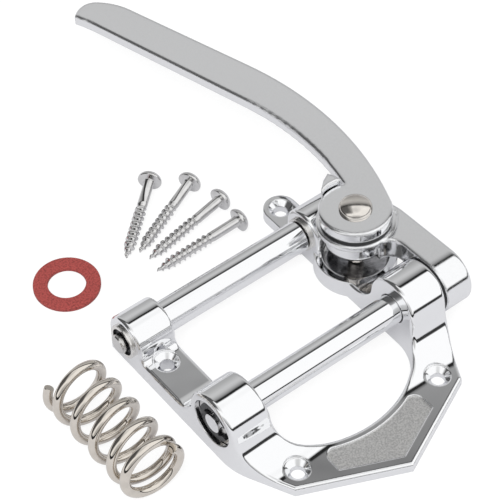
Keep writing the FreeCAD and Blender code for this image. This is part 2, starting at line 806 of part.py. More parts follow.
def make_arm(level):
    low = "bracket_boss_r + arm_washer_thick + face_gap"
    place = level * placed(size(HUB_X), size("hub_reach"), size(low))
    calf = ("arm_bend_x - arm_bend_width", "arm_bend_y - arm_calf_back")
    heel = "arm_end_x - arm_end_width"
    crown = "arm_end_y + arm_tip_rise + arm_crown_rise"
    blade = new_body("arm_blade")
    sketch = sketch_on(blade, "XY_Plane")
    outline(sketch, (
        ("sqrt(arm_disc_r^2 - arm_leave_y^2)", "-arm_leave_y", "after"),
        ("arm_bend_x", "arm_bend_y"),
        ("arm_end_x", "arm_end_y", "before"),
        (f"{heel} + arm_tip_out", "arm_end_y + arm_tip_rise", "before"),
        (f"{heel} + arm_crown_out", crown, "before"),
        (f"{heel} - arm_toe_out", f"{crown} - arm_toe_drop", "after"),
        (heel, "arm_end_y"),
        (*calf, "before"),
        ("arm_root_x", "arm_disc_r - arm_root_inset"),
        ("0", "0"),
    ))
    pad(blade, sketch, "arm_thick")
    blade.Placement = place
    disc = cylinder("arm_disc", "arm_disc_r", "arm_thick", place)
    whole = joined("arm_whole", blade, disc)
    top = place.Rotation.multVec(V(0, 0, 1))

    def rim(edge):
        """Edge that lies flat in the top or bottom face of the arm."""
        heights = [(vertex.Point - place.Base).dot(top) for vertex in edge.Vertexes]
        heights.append((middle_of(edge) - place.Base).dot(top))
        return max(heights) - min(heights) < 1e-4

    soft = rounded("arm_soft", whole, "arm_edge_round", rim)
    bore = cylinder("arm_bore", "bolt_shoulder_r + running_gap", "arm_thick", place)
    cut("arm", soft, bore)


def make_pivot(level):
    place = level * placed(size(HUB_X), size("hub_reach"), 0)
    over_floor = "cup_floor + bolt_foot_gap - string_bar_z"
    dip = "(hub_reach + bolt_thread_r) * sin(bracket_drop)"
    foot = f"(({over_floor} + {dip}) / cos(bracket_drop))"
    seat = "bracket_boss_r"
    under = "(bracket_boss_r + arm_washer_thick + arm_thick + 2 * face_gap)"
    turned("pivot_bolt", (
        ("0", foot),
        ("bolt_thread_r - bolt_chamfer", foot),
        ("bolt_thread_r", f"{foot} + bolt_chamfer"),
        ("bolt_thread_r", seat),
        ("bolt_shoulder_r", seat),
        ("bolt_shoulder_r", under),
        ("bolt_head_r", under),
        ("bolt_head_r", f"{under} + bolt_rim", "(bolt_head_r^2 + bolt_dome^2) / (2 * bolt_dome)"),
        ("0", f"{under} + bolt_rim + bolt_dome"),
    ), place)
    hole = "bolt_shoulder_r + running_gap"
    outer = "arm_disc_r - arm_washer_inset"
    ring("arm_washer", hole, outer, seat, f"{seat} + arm_washer_thick", place)
    well = "(bracket_boss_r - hub_depth + nut_well_depth)"
    hole = "bolt_thread_r + running_gap"
    low = f"({well} - lock_washer_thick)"
    ring("pivot_lock_washer", hole, "lock_washer_r", low, well, place)
    nut = new_body("nut_blank")
    sketch = sketch_on(nut, "XY_Plane", f"{low} - nut_thick")
    corner = "(nut_flats / sqrt(3))"
    outline(sketch, (
        (corner, "0"),
        (f"{corner} / 2", "nut_flats / 2"),
        (f"-{corner} / 2", "nut_flats / 2"),
        (f"-{corner}", "0"),
        (f"-{corner} / 2", "-nut_flats / 2"),
        (f"{corner} / 2", "-nut_flats / 2"),
    ))
    pad(nut, sketch, "nut_thick")
    nut.Placement = place
    start = place * placed(0, 0, size(f"{low} - nut_thick"))
    cut("pivot_nut", nut, cylinder("nut_hole", "bolt_thread_r", "nut_thick", start))


# Loose pieces: spring, fibre washer and wood screws.

def spring_rise(turn):
    """Distance along the spring after a number of turns; the ends are wound close."""
    closed = size("spring_end_pitch")
    gain = size("spring_open_pitch") - closed
    rise = closed * turn
    for start, stop, sign in ((0.55, 1.0, 1), (4.45, 4.75, -1)):
        past = max(0.0, turn - start)
        ramp = min(past, stop - start)
        rise += sign * gain * (ramp ** 2 / (2 * (stop - start)) + max(0.0, turn - stop))
    return rise


def spring_point(turn):
    """Point and direction of the wire, with the spring's own Z along its length."""
    radius = size("spring_coil_r")
    angle = 2 * math.pi * turn
    small = 1e-5
    slope = (spring_rise(turn + small) - spring_rise(turn - small)) / (2 * small)
    point = V(radius * math.cos(angle), radius * math.sin(angle), spring_rise(turn))
    turning = 2 * math.pi * radius
    way = V(-turning * math.sin(angle), turning * math.cos(angle), slope).normalize()
    return point, way


def biarc(start, start_way, finish, finish_way):
    """Two arcs that meet smoothly and keep the direction of the wire at both ends."""
    chord = finish - start
    both = chord.dot(start_way + finish_way)
    spread = 1 - start_way.dot(finish_way)
    arm = (math.sqrt(both ** 2 + 2 * spread * chord.dot(chord)) - both) / (2 * spread)
    first = start + start_way * arm
    last = finish - finish_way * arm
    join = (first + last) * 0.5
    edges = []
    for begin, corner, end in ((start, first, join), (join, last, finish)):
        middle = (begin + end) * 0.5
        bow = corner - middle
        half = (end - begin).Length / 2
        radius = half * (corner - begin).Length / bow.Length
        sag = radius - math.sqrt(radius ** 2 - half ** 2)
        edges.append(Part.Arc(begin, middle + bow.normalize() * sag, end).toShape())
    return edges


def make_spring():
    """Compression spring: one wire swept along a helix of quarter turns."""
    turns = size("spring_turns")
    count = math.ceil(turns * 4)
    knots = [spring_point(turns * number / count) for number in range(count + 1)]
    edges = []
    for (start, start_way), (finish, finish_way) in zip(knots, knots[1:]):
        edges.extend(biarc(start, start_way, finish, finish_way))
    path = Part.Wire(edges)
    point, way = knots[0]
    profile = Part.Wire(Part.Circle(point, way, size("spring_wire_r")).toShape())
    item = doc.addObject("Part::Feature", "spring")
    item.Shape = path.makePipeShell([profile], True, False)
    lie = FreeCAD.Rotation(V(1, 0, 0), 90) * FreeCAD.Rotation(V(0, 0, 1), 152)
    outer = "(spring_coil_r + spring_wire_r)"
    aside = size(f"arm_outer_half + spring_aside + {outer}")
    item.Placement = FreeCAD.Placement(V(-aside, size("spring_start"), size(outer)), lie)
    item.Label = "spring"
    points = [spring_point(turns * number / 400)[0] for number in range(401)]
    near = min((points[a] - points[b]).Length for a in range(401) for b in range(a + 40, 401))
    print("least gap between turns of the spring, mm:", round(near - 2 * size("spring_wire_r"), 3))


def make_screws():
    """Four round-head wood screws, each lying on its head and its thread."""
    base = "(screw_length - screw_head_rim - screw_head_dome)"
    run = size(f"{base} - screw_point")
    tilt = math.atan2(size("screw_head_r - screw_thread_r"), run)
    tip = size("screw_thread_r") * math.cos(tilt) - size("screw_point") * math.sin(tilt)
    half = size("screw_length") / 2 * math.cos(tilt)
    screws = []
    for number, (middle, heading) in enumerate(SCREWS_AT, start=1):
        turn = FreeCAD.Rotation(V(0, 0, 1), heading)
        lift = FreeCAD.Rotation(V(0, 1, 0), 90 - math.degrees(tilt))
        start = middle + V(0, size(FRONT), tip) - turn.multVec(V(half, 0, 0))
        screws.append(turned(f"wood_screw_{number}", (
            ("0", "0"),
            ("screw_thread_r", "screw_point"),
            ("screw_thread_r", "screw_thread_length"),
            ("screw_shank_r", "screw_thread_length + screw_head_rim"),
            ("screw_shank_r", base),
            ("screw_head_r", base),
            ("screw_head_r", f"{base} + screw_head_rim",
             "(screw_head_r^2 + screw_head_dome^2) / (2 * screw_head_dome)"),
            ("0", "screw_length"),
        ), FreeCAD.Placement(start, turn * lift)))
    group = doc.addObject("Part::Compound", "wood_screws")
    group.Links = screws
    group.Label = "wood_screws"
    doc.recompute()


NODES = (
    "frame", "bearing_left", "bearing_right", "clip_washer", "bracket_washer",
    "tension_bush_left", "tension_bush_right", "tension_shaft", "tension_roller",
    "string_bar", "string_pins", "bar_clip", "arm_bracket", "bracket_grub_screw",
    "arm", "arm_washer", "pivot_bolt", "pivot_nut", "pivot_lock_washer",
    "spring", "fibre_washer", "wood_screws",
)

string_line = along_x("string_bar_y", "string_bar_z")
bracket_level = on_bracket()
make_frame()
make_tension_line()
make_bearings(string_line)
make_string_bar(string_line)
make_clip(string_line)
make_bracket(bracket_level)
make_arm(bracket_level)
make_pivot(bracket_level)
make_spring()
washer_x = size("washer_inset - arm_outer_half")
washer_place = placed(washer_x, size(f"{FRONT} + washer_ahead + fibre_washer_r"), 0)
ring("fibre_washer", "fibre_washer_hole_r", "fibre_washer_r", "0", "fibre_washer_thick", washer_place)
make_screws()
doc.recompute()

for item in doc.Objects:
    if "Invalid" in item.State or "Error" in item.State:
        raise RuntimeError(f"{item.Name} did not build: {item.State}")
os.makedirs("parts", exist_ok=True)
for node in NODES:
    item = doc.getObjectsByLabel(node)[0]
    if item.Shape.isNull() or not item.Shape.isValid() or not item.Shape.Solids:
        raise RuntimeError(f"{node} has no sound shape")
    item.Shape.exportStep(f"parts/{node}.step")
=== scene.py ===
"""Looks of a horseshoe vibrato tailpiece with its spring, fibre washer and wood screws."""

import math

import bmesh
import bpy
from bpy.props import FloatProperty, FloatVectorProperty, IntProperty, PointerProperty
from mathutils import Matrix, Vector


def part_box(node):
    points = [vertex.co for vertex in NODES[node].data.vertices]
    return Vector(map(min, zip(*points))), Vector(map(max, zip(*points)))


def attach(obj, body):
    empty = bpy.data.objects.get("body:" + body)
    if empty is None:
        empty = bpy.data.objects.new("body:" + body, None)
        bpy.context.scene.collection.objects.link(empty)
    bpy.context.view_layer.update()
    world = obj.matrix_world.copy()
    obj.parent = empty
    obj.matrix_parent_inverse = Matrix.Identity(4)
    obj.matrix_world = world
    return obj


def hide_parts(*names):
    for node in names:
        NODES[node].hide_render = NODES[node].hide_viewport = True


bl_info = {
    "name": "Vibrato Tailpiece Looks",
    "version": (1, 0, 0),
    "blender": (4, 5, 0),
    "location": "View3D > Sidebar > Vibrato",
    "description": "Finishes, loose pieces and studio for a vibrato tailpiece",
    "category": "Object",
}

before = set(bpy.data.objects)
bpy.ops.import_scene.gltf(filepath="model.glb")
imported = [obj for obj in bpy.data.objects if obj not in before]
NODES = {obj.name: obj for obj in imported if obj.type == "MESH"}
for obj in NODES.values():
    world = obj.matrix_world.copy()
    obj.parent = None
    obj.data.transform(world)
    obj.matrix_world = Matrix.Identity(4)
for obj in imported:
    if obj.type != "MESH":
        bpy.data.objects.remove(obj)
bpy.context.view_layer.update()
MM = 0.001

# Middle of each screw on the floor, in millimetres, and the way that its head points, in degrees.
SCREWS_AT = (
    ((-4.5, 109.6), 39.9),
    ((3.0, 104.6), 23.0),
    ((5.0, 96.0), 8.0),
    ((4.0, 87.5), -1.3),
)

# How finely round forms are cut, and how many samples soften an edge.
EDGE_SAMPLES = 8
BOLT_SIDES = 64
BOLT_RINGS_PER_THREAD = 8
BOLT_DOME_STEPS = 20
SPRING_SIDES = 24
SPRING_RINGS_PER_TURN = 56
WASHER_SIDES = 96
WASHER_CORNER_STEPS = 4
SCREW_RINGS_PER_THREAD = 20
SCREW_DOME_STEPS = 12

# Least upward part of the normal of a level face.
LEVEL_FACE = 0.99

# Well of the left bush, painted black as painted shade for the shadow in its recess: how deep it may lie,
# and a margin round it.
WELL_DEPTH = 2.0 * MM
WELL_MARGIN = 0.02 * MM

# Bolt: how far the end of its thread is drawn in under the root.
BOLT_END_TAPER = 0.15 * MM

# Spring: turns over which the wire opens out from its close start and over which it closes again, and the
# share of a turn that its slope is measured over.
SPRING_OPENS = (0.55, 1.0)
SPRING_CLOSES = (4.45, 4.75)
SPRING_SLOPE_STEP = 1e-4

# Wood screw: how far each is rolled past the one before, in degrees.
SCREW_ROLL = 37.0

# Thread of the wood screw: where the first ring lies in steps, half the foot of a ridge in pitches, how much
# of the crest is flattened, and the pitches over which the thread runs out into the shank.
SCREW_FIRST_RING = 0.6
SCREW_RIDGE_HALF = 0.24
SCREW_CREST_FLAT = 1.25
SCREW_RUN_OUT = 1.2

# Tip of the wood screw, as shares of full size: core, depth of the thread and reach of its crests. The last
# value says how fast the core closes to a point.
SCREW_TIP_CORE = 0.1
SCREW_TIP_DEPTH = 0.35
SCREW_TIP_REACH = 0.2
SCREW_TIP_CLOSE = 8

# Plain shank of the wood screw: from just past the thread to just short of the seat.
SCREW_SHANK_FROM = 0.6 * MM
SCREW_SHANK_TO = 0.4 * MM

# Wood screw: outline under the head in millimetres, as (out from the shank, up from the seat) and then
# (out from the head's edge, up from the seat), and the powers that fill the dome out.
SCREW_NECK = ((0.12, -0.1), (0.4, 0.0))
SCREW_EDGE = ((-0.3, 0.0), (-0.08, 0.1), (0.0, 0.3))
SCREW_DOME_OUT = 0.8
SCREW_DOME_UP = 1.15

# Cross recess: how far the cutter stands above the head, and its foot as shares of its mouth.
RECESS_OVERSHOOT = 0.5 * MM
RECESS_FOOT_REACH = 0.45
RECESS_FOOT_WIDTH = 0.75

# Studio: floor, lamp and camera.
WHITE = (1.0, 1.0, 1.0)
FLOOR_DROP = 0.02 * MM
FLOOR_PAINT = 0.8
LAMP_SIDE = 0.9
LAMP_PLACE = (-0.45, -0.35, 0.95)
SENSOR_WIDTH = 36.0
CLIP_START = 0.01

# The room that polished metal shows, as (part of the direction from -1 to 1, brightness): depth runs from
# behind the camera to the far wall, height from below to overhead, and side from left to right.
ROOM_DEPTH = (
    (-1.0, 0.42), (-0.92, 0.55), (-0.80, 0.70), (-0.72, 1.08), (0.39, 1.08), (0.425, 0.8),
    (0.45, 0.02), (0.53, 0.02), (0.555, 0.19), (0.61, 0.34), (0.68, 0.48), (0.72, 0.56),
    (0.80, 0.60), (0.88, 0.52), (1.0, 0.36),
)
ROOM_HEIGHT = (
    (-1.0, 1.0), (-0.04, 1.0), (-0.02, 0.05), (0.13, 0.03), (0.17, 1.0), (0.92, 1.0),
    (0.975, 0.78), (1.0, 0.70),
)
ROOM_SIDE = (
    (-1.0, 0.10), (-0.55, 0.10), (-0.42, 0.22), (-0.30, 0.40), (-0.22, 1.0), (1.0, 1.0),
)

# Depths over which the far wall and the wall behind the camera take over from the dark sides.
FAR_WALL = (0.40, 0.60)
NEAR_WALL = (-0.30, -0.50)


def length(name, description, default):
    """A size in metres, given here in millimetres."""
    return FloatProperty(name=name, description=description, default=default * MM,
                         unit="LENGTH", subtype="DISTANCE", precision=5)


def angle(name, description, degrees):
    """An angle, given here in degrees."""
    return FloatProperty(name=name, description=description, default=math.radians(degrees),
                         unit="ROTATION", subtype="ANGLE")


def number(name, description, default):
    """A plain number."""
    return FloatProperty(name=name, description=description, default=default, precision=3)


def colour(name, description, default):
    """A linear colour."""
    return FloatVectorProperty(name=name, description=description, default=default,
                               size=3, subtype="COLOR", min=0.0, max=1.0)


class StudioSettings(bpy.types.PropertyGroup):
    """Camera, floor and light."""
    azimuth: angle("Azimuth", "Angle of the camera round the part", -37.926)
    elevation: angle("Elevation", "Angle of the camera above the floor", 48.797)
    roll: angle("Roll", "Lean of the camera about its own line of sight", -0.580)
    distance: length("Distance", "From the camera to the point that it looks at", 628.6)
    target_x: length("Target X", "Point on the floor that the camera looks at", 16.155)
    target_y: length("Target Y", "Point on the floor that the camera looks at", 77.540)
    focal_length: number("Focal Length", "Lens in millimetres on a 36 mm sensor", 140.59)
    floor_size: length("Floor Size", "Side of the square floor", 6000.0)
    sky_level: number("Sky Level", "Soft light from all round on dull surfaces", 0.72)
    key_power: number("Key Power", "Power of the large soft lamp in watts", 9.0)
    floor_tint: colour("Floor Tint", "Shaded floor as polished metal shows it", (0.86, 0.86, 0.93))
    room_turn: angle("Room Turn", "Angle of the reflected room about the part", 37.926)


class FinishSettings(bpy.types.PropertyGroup):
    """Colours of the metals and plastics."""
    chrome: colour("Chrome", "Polished plating of the castings and bars", (0.90, 0.905, 0.915))
    satin: colour("Satin Chrome", "Matte plating in the tail panel", (0.84, 0.835, 0.825))
    steel: colour("Steel", "Plain turned steel", (0.66, 0.65, 0.64))
    bush: colour("Bush", "Plated sintered bush", (0.80, 0.785, 0.76))
    nickel: colour("Nickel", "Warm plating of the spring", (0.75, 0.70, 0.635))
    bolt: colour("Bolt", "Paler plating of the pivot bolt", (0.80, 0.76, 0.71))
    zinc: colour("Zinc", "Bright plating of the wood screws", (0.74, 0.735, 0.73))
    # The cup's darker tone is partly painted shade of the cup lying under the arm hub; its dull finish is
    # the unpolished casting.
    cup: colour("Cup", "Unpolished plating inside the spring cup", (0.50, 0.50, 0.51))
    black_metal: colour("Black Metal", "Blackened spring steel", (0.022, 0.022, 0.024))
    nylon: colour("Nylon", "Black plastic washers", (0.013, 0.013, 0.014))
    fibre: colour("Fibre", "Red pressed fibre", (0.366, 0.064, 0.057))
    fibre_dark: colour("Dark Fibre", "Specks in the red fibre", (0.205, 0.032, 0.028))


class CastingSettings(bpy.types.PropertyGroup):
    """Places on the frame casting that aren't polished."""
    panel_low: length("Panel Low", "Below the floor of the tail recess", 2.6)
    panel_high: length("Panel High", "Above the floor of the tail recess", 3.2)
    panel_front: length("Panel Front", "Where the tail recess ends", 6.0)
    cup_x: length("Cup X", "Middle of the spring cup", 38.4)
    cup_y: length("Cup Y", "Middle of the spring cup", 51.67)
    cup_radius: length("Cup Radius", "Radius of the spring cup", 11.05)
    cup_low: length("Cup Low", "Just under the floor of the spring cup", 2.9)
    bush_lip: length("Bush Lip", "Width of the lip round the well of the left bush", 1.05)


class BoltSettings(bpy.types.PropertyGroup):
    """Pivot bolt of the swing arm."""
    lean: angle("Lean", "Tilt of the bolt at rest", 4.0)
    foot: length("Foot", "Lower end, measured from the level of the string bar", -7.97)
    seat: length("Seat", "Underside of the shoulder", 9.6)
    under: length("Under", "Underside of the head", 14.7)
    top: length("Top", "Crown of the head", 17.8)
    head_radius: length("Head Radius", "Radius of the head", 5.3)
    head_rim: length("Head Rim", "Height of the straight rim of the head", 0.3)
    shoulder_radius: length("Shoulder Radius", "Radius of the plain shoulder", 3.5)
    thread_radius: length("Thread Radius", "Radius over the thread", 2.5)
    root_radius: length("Root Radius", "Radius at the root of the thread", 2.05)
    pitch: length("Pitch", "From one crest of the thread to the next", 0.8)


class SpringSettings(bpy.types.PropertyGroup):
    """Compression spring."""
    coil_radius: length("Coil Radius", "To the middle of the wire", 9.0)
    wire_radius: length("Wire Radius", "Half the thickness of the wire", 1.55)
    turns: number("Turns", "Turns of the wire", 5.7)
    end_pitch: length("End Pitch", "Rise of one turn at the closed ends", 3.6)
    open_pitch: length("Open Pitch", "Rise of one turn in the middle", 9.0)
    start_angle: angle("Start Angle", "Where the wire begins", 152.0)
    end_bevel: length("End Bevel", "Broken edge of the cut wire ends", 0.18)


class WasherSettings(bpy.types.PropertyGroup):
    """Fibre washer."""
    hole_radius: length("Hole Radius", "Radius of the hole", 6.1)
    edge_round: length("Edge Round", "Rounding of the stamped edges", 0.3)


class ScrewSettings(bpy.types.PropertyGroup):
    """Round-head wood screws."""
    length: length("Length", "Whole length of a screw", 35.0)
    head_radius: length("Head Radius", "Radius of the round head", 4.0)
    head_rim: length("Head Rim", "Height of the rim of the head", 0.6)
    head_dome: length("Head Dome", "Height of the dome above the rim", 2.3)
    shank_radius: length("Shank Radius", "Radius of the smooth shank", 1.7)
    thread_radius: length("Thread Radius", "Radius over the thread", 2.0)
    core_radius: length("Core Radius", "Radius at the root of the thread", 1.36)
    thread_length: length("Thread Length", "From the tip to the end of the thread", 22.0)
    point_length: length("Point Length", "Length of the tapered tip", 5.0)
    pitch: length("Pitch", "From one crest of the thread to the next", 2.05)
    slot_width: length("Slot Width", "Width of a wing of the cross recess", 0.95)
    slot_reach: length("Slot Reach", "Half the span of the cross recess", 2.2)
    slot_depth: length("Slot Depth", "Depth of the cross recess", 1.9)
    segments: IntProperty(name="Segments", description="Sides round the screw", default=40, min=12)


# Material helpers.

def new_finish(name, tone, metallic, roughness):
    """A material whose plain numbers stand on its own shader."""
    finish = bpy.data.materials.new(name)
    finish.use_nodes = True
    shader = finish.node_tree.nodes["Principled BSDF"]
    shader.inputs["Base Color"].default_value = (*tone, 1.0)
    shader.inputs["Metallic"].default_value = metallic
    shader.inputs["Roughness"].default_value = roughness
    return finish


def add_node(tree, kind, **values):
    """A node with its input values set by socket name; spaces are written as underscores."""
    node = tree.nodes.new(kind)
    for socket, value in values.items():
        node.inputs[socket.replace("_", " ")].default_value = value
    return node


def noise(finish, grain, detail=2.0, stretch=(1.0, 1.0, 1.0)):
    """Noise on the object's own coordinates; grain is the size of its lumps in metres."""
    tree = finish.node_tree
    place = tree.nodes.new("ShaderNodeTexCoord")
    stretched = add_node(tree, "ShaderNodeMapping", Scale=stretch)
    texture = add_node(tree, "ShaderNodeTexNoise", Scale=1.0 / grain, Detail=detail)
    tree.links.new(place.outputs["Object"], stretched.inputs["Vector"])
    tree.links.new(stretched.outputs["Vector"], texture.inputs["Vector"])
    return texture.outputs["Fac"]


def vary_roughness(finish, source, low, high):
    """Roughness that wanders between two values."""
    tree = finish.node_tree
    span = add_node(tree, "ShaderNodeMapRange", From_Min=0.3, From_Max=0.7, To_Min=low, To_Max=high)
    tree.links.new(source, span.inputs["Value"])
    tree.links.new(span.outputs["Result"], tree.nodes["Principled BSDF"].inputs["Roughness"])


def vary_colour(finish, source, first, second, low=0.4, high=0.6):
    """Colour that wanders between two tones."""
    tree = finish.node_tree
    ramp = tree.nodes.new("ShaderNodeValToRGB")
    ramp.color_ramp.elements[0].position = low
    ramp.color_ramp.elements[0].color = (*first, 1.0)
    ramp.color_ramp.elements[1].position = high
    ramp.color_ramp.elements[1].color = (*second, 1.0)
    tree.links.new(source, ramp.inputs["Fac"])
    tree.links.new(ramp.outputs["Color"], tree.nodes["Principled BSDF"].inputs["Base Color"])


def shade(tone, share):
    """A tone made darker or lighter."""
    return [share * part for part in tone]


def soften_edges(finish, radius):
    """Edges that catch the light as if they were rounded."""
    tree = finish.node_tree
    edge = tree.nodes.new("ShaderNodeBevel")
    edge.samples = EDGE_SAMPLES
    edge.inputs["Radius"].default_value = radius
    tree.links.new(edge.outputs["Normal"], tree.nodes["Principled BSDF"].inputs["Normal"])


def add_relief(finish, source, height):
    """Fine relief on top of whatever normal the shader already has."""
    tree = finish.node_tree
    target = tree.nodes["Principled BSDF"].inputs["Normal"]
    bump = add_node(tree, "ShaderNodeBump", Strength=1.0, Distance=height)
    if target.is_linked:
        tree.links.new(target.links[0].from_socket, bump.inputs["Normal"])
    tree.links.new(source, bump.inputs["Height"])
    tree.links.new(bump.outputs["Normal"], target)


def polished_chrome(name, tone):
    """Bright plating over a buffed casting, with a faint ripple."""
    finish = new_finish(name, tone, metallic=1.0, roughness=0.04)
    soften_edges(finish, radius=0.6 * MM)
    vary_roughness(finish, noise(finish, grain=9.0 * MM), low=0.03, high=0.06)
    add_relief(finish, noise(finish, grain=16.0 * MM, detail=1.0), height=0.13 * MM)
    return finish


def polished_bar(name, tone):
    """Ground and plated bar, with faint rings round it."""
    finish = new_finish(name, tone, metallic=1.0, roughness=0.04)
    soften_edges(finish, radius=0.2 * MM)
    rings = noise(finish, grain=1.2 * MM, stretch=(1.0, 0.02, 0.02))
    vary_roughness(finish, rings, low=0.03, high=0.055)
    add_relief(finish, rings, height=0.0006 * MM)
    return finish


def satin_panel(name, tone):
    """Matte plating with the grain of fine blasting."""
    finish = new_finish(name, tone, metallic=1.0, roughness=0.5)
    blasting = noise(finish, grain=0.5 * MM, detail=3.0)
    vary_roughness(finish, blasting, low=0.36, high=0.56)
    vary_colour(finish, blasting, shade(tone, 0.72), tone, low=0.38, high=0.62)
    add_relief(finish, blasting, height=0.05 * MM)
    return finish


def cast_plating(name, tone):
    """Plating over an unpolished casting: dull and slightly lumpy."""
    finish = new_finish(name, tone, metallic=1.0, roughness=0.2)
    lumps = noise(finish, grain=2.2 * MM, detail=4.0)
    vary_roughness(finish, lumps, low=0.13, high=0.28)
    vary_colour(finish, lumps, shade(tone, 0.7), tone)
    add_relief(finish, lumps, height=0.06 * MM)
    return finish


def buffed_chrome(name, tone):
    """Plating over buffed flats, with a fine grain and well rounded edges."""
    finish = new_finish(name, tone, metallic=1.0, roughness=0.08)
    soften_edges(finish, radius=1.5 * MM)
    buffing = noise(finish, grain=0.45 * MM, detail=3.0)
    vary_roughness(finish, buffing, low=0.05, high=0.12)
    vary_colour(finish, buffing, shade(tone, 0.97), tone)
    add_relief(finish, buffing, height=0.0012 * MM)
    return finish


def turned_metal(name, tone, rough):
    """Turned steel with fine tool marks."""
    finish = new_finish(name, tone, metallic=1.0, roughness=rough)
    soften_edges(finish, radius=0.15 * MM)
    marks = noise(finish, grain=0.8 * MM, detail=3.0)
    vary_roughness(finish, marks, low=0.75 * rough, high=1.35 * rough)
    add_relief(finish, marks, height=0.002 * MM)
    return finish


def bright_plating(name, tone, rough):
    """Bright plated wire or screw stock with a slight haze."""
    finish = new_finish(name, tone, metallic=1.0, roughness=rough)
    soften_edges(finish, radius=0.15 * MM)
    haze = noise(finish, grain=2.5 * MM, detail=3.0)
    vary_roughness(finish, haze, low=0.7 * rough, high=1.4 * rough)
    vary_colour(finish, haze, shade(tone, 0.93), tone)
    add_relief(finish, haze, height=0.008 * MM)
    return finish


def black_oxide(name, tone):
    """Blackened steel with rubbed patches."""
    finish = new_finish(name, tone, metallic=0.6, roughness=0.35)
    soften_edges(finish, radius=0.1 * MM)
    rubbed = noise(finish, grain=1.5 * MM, detail=3.0)
    vary_roughness(finish, rubbed, low=0.26, high=0.45)
    vary_colour(finish, rubbed, tone, shade(tone, 2.2))
    return finish


def black_nylon(name, tone):
    """Moulded black plastic with a soft sheen."""
    finish = new_finish(name, tone, metallic=0.0, roughness=0.45)
    soften_edges(finish, radius=0.1 * MM)
    mould = noise(finish, grain=0.6 * MM, detail=3.0)
    vary_roughness(finish, mould, low=0.38, high=0.55)
    add_relief(finish, mould, height=0.006 * MM)
    return finish


def red_fibre(name, tone, speck):
    """Pressed fibre: fine dark specks on brick red, and a dry surface."""
    finish = new_finish(name, tone, metallic=0.0, roughness=0.75)
    specks = noise(finish, grain=0.55 * MM, detail=4.0)
    vary_colour(finish, specks, speck, tone, low=0.36, high=0.56)
    vary_roughness(finish, specks, low=0.66, high=0.86)
    add_relief(finish, specks, height=0.03 * MM)
    return finish


def dress(names, finish):
    """Gives CAD nodes one finish."""
    for name in names:
        slots = NODES[name].data.materials
        slots.clear()
        slots.append(finish)


def settle(piece, body, node, finish):
    """Puts a new piece on its body in place of a CAD node, with its finish."""
    piece.data.materials.append(finish)
    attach(piece, body)
    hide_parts(node)


# Mesh helpers.

def new_piece(name, mesh_maker):
    """An object made from a bmesh, with smooth faces."""
    mesh = bpy.data.meshes.new(name)
    mesh_maker.normal_update()
    mesh_maker.to_mesh(mesh)
    mesh_maker.free()
    mesh.shade_smooth()
    piece = bpy.data.objects.new(name, mesh)
    bpy.context.scene.collection.objects.link(piece)
    return piece


def sharpen(piece, degrees):
    """Keeps the edges sharp that turn by more than an angle."""
    piece.data.set_sharp_from_angle(angle=math.radians(degrees))


def bridge(maker, rings, closed=False):
    """Quads between rings of vertices; a closed set joins its last ring to its first."""
    pairs = list(zip(rings, rings[1:]))
    if closed:
        pairs.append((rings[-1], rings[0]))
    for first, second in pairs:
        count = len(first)
        for step in range(count):
            after = (step + 1) % count
            maker.faces.new((first[step], first[after], second[after], second[step]))


def fan(maker, ring, middle):
    """Triangles from a ring to its middle vertex."""
    count = len(ring)
    for step in range(count):
        maker.faces.new((ring[step], ring[(step + 1) % count], middle))


def thread_ring(maker, segments, height, radius_at):
    """Ring of vertices about Z whose radius changes round the turn."""
    ring = []
    for side in range(segments):
        way = side / segments
        turn = 2 * math.pi * way
        radius = radius_at(way)
        ring.append(maker.verts.new((radius * math.cos(turn), radius * math.sin(turn), height)))
    return ring


def lathe(maker, profile, segments, closed=False):
    """Faces turned about Z from an outline of (radius, height) points."""
    rings = [thread_ring(maker, segments, height, lambda way: radius) for radius, height in profile]
    bridge(maker, rings, closed)
    return rings


# Pieces.

class VIBRATO_OT_castings(bpy.types.Operator):
    """Dress the frame, the bracket and the swing arm in chrome"""
    bl_idname = "vibrato.castings"
    bl_label = "Chrome Castings"

    def execute(self, context):
        tones = context.scene.vibrato_finish
        dress(("frame",), polished_chrome("chrome_casting", tones.chrome))
        dress(("arm_bracket", "arm"), buffed_chrome("chrome_arm", tones.chrome))
        places = context.scene.vibrato_casting
        cup = Vector((places.cup_x, places.cup_y))

        def in_panel(face):
            level = places.panel_low < face.center.z < places.panel_high
            return level and face.center.y < places.panel_front and face.normal.z > LEVEL_FACE

        def in_cup(face):
            near = (face.center.xy - cup).length < places.cup_radius
            return near and face.center.z > places.cup_low

        self.finish_faces(in_panel, satin_panel("satin_chrome", tones.satin))
        # The spring cup is partly painted shade: its darker tone stands in for the shadow under the arm hub,
        # and its rough, lumpy finish is the unpolished casting.
        self.finish_faces(in_cup, cast_plating("cup_plating_painted_shade", tones.cup))
        return {"FINISHED"}

    def finish_faces(self, wanted, finish):
        """Gives the wanted faces of the frame a finish of their own."""
        body = NODES["frame"].data
        body.materials.append(finish)
        found = [face for face in body.polygons if wanted(face)]
        if not found:
            raise RuntimeError(f"the frame has no place for {finish.name}")
        for face in found:
            face.material_index = len(body.materials) - 1


class VIBRATO_OT_bars(bpy.types.Operator):
    """Dress the string bar and the tension roller in polished chrome"""
    bl_idname = "vibrato.bars"
    bl_label = "Bars"

    def execute(self, context):
        tones = context.scene.vibrato_finish
        dress(("string_bar", "tension_roller"), polished_bar("chrome_bar", tones.chrome))
        return {"FINISHED"}


